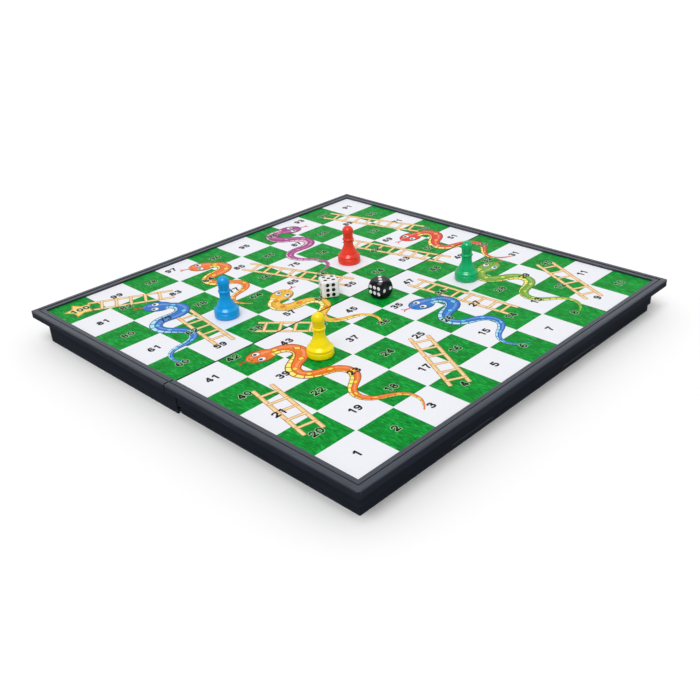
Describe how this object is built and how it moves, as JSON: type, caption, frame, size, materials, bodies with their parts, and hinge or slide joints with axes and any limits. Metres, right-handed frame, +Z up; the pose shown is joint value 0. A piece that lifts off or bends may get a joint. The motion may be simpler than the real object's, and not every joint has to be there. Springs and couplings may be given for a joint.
{
  "type": "folding magnetic board game",
  "caption": "Folding travel board for snakes and ladders: two hinged tray halves with a printed face over steel, magnetic pawns and dice.",
  "frame": {"origin": "on the table under the middle of the open board, below the fold", "axes": "+X along the fold, in the direction in which row 1 is numbered; +Y across the fold towards rows 6 to 10; +Z up"},
  "size_m": [0.25, 0.25, 0.0409],
  "materials": {
    "case": "satin moulded plastic, dark grey",
    "pin_steel": "drawn wire",
    "sheet_steel": "cold rolled",
    "film": "laminated print, white",
    "ink_green": "printed ink",
    "ink_ladder": "printed ink",
    "ink_snake": "printed ink",
    "pawn_red": "polished",
    "pawn_blue": "polished",
    "pawn_yellow": "polished",
    "pawn_green": "polished, slightly clear",
    "magnet": "sintered ferrite",
    "die_white": "polished",
    "die_black": "polished",
    "spot_black": "paint",
    "spot_white": "paint"
  },
  "bodies": {
    "lower_half": {"case_lower": "case", "hinge_pin_left": "pin_steel", "hinge_pin_right": "pin_steel", "steel_sheet_lower": "sheet_steel", "playing_film_lower": "film", "green_squares_lower": "ink_green", "ladders_lower": "ink_ladder", "snakes_lower": "ink_snake"},
    "upper_half": {"case_upper": "case", "steel_sheet_upper": "sheet_steel", "playing_film_upper": "film", "green_squares_upper": "ink_green", "ladders_upper": "ink_ladder", "snakes_upper": "ink_snake"},
    "red_pawn": {"pawn_red": "pawn_red", "magnet_red": "magnet"},
    "blue_pawn": {"pawn_blue": "pawn_blue", "magnet_blue": "magnet"},
    "yellow_pawn": {"pawn_yellow": "pawn_yellow", "magnet_yellow": "magnet"},
    "green_pawn": {"pawn_green": "pawn_green", "magnet_green": "magnet"},
    "white_die": {"die_white": "die_white", "spots_white": "spot_black"},
    "black_die": {"die_black": "die_black", "spots_black": "spot_white"}
  },
  "joints": [
    {"name": "fold", "type": "hinge", "parent": "lower_half", "child": "upper_half", "pos_m": [0, 0, 0.0023], "axis": [-1, 0, 0], "range_deg": [0, 180]},
    {"name": "red_pawn_lift", "type": "slide", "parent": "upper_half", "child": "red_pawn", "axis": [0, 0, 1], "range_m": [0, 0.06]},
    {"name": "blue_pawn_lift", "type": "slide", "parent": "upper_half", "child": "blue_pawn", "axis": [0, 0, 1], "range_m": [0, 0.06]},
    {"name": "yellow_pawn_lift", "type": "slide", "parent": "lower_half", "child": "yellow_pawn", "axis": [0, 0, 1], "range_m": [0, 0.06]},
    {"name": "green_pawn_lift", "type": "slide", "parent": "lower_half", "child": "green_pawn", "axis": [0, 0, 1], "range_m": [0, 0.06]},
    {"name": "white_die_lift", "type": "slide", "parent": "upper_half", "child": "white_die", "axis": [0, 0, 1], "range_m": [0, 0.06]},
    {"name": "black_die_lift", "type": "slide", "parent": "lower_half", "child": "black_die", "axis": [0, 0, 1], "range_m": [0, 0.06]}
  ]
}
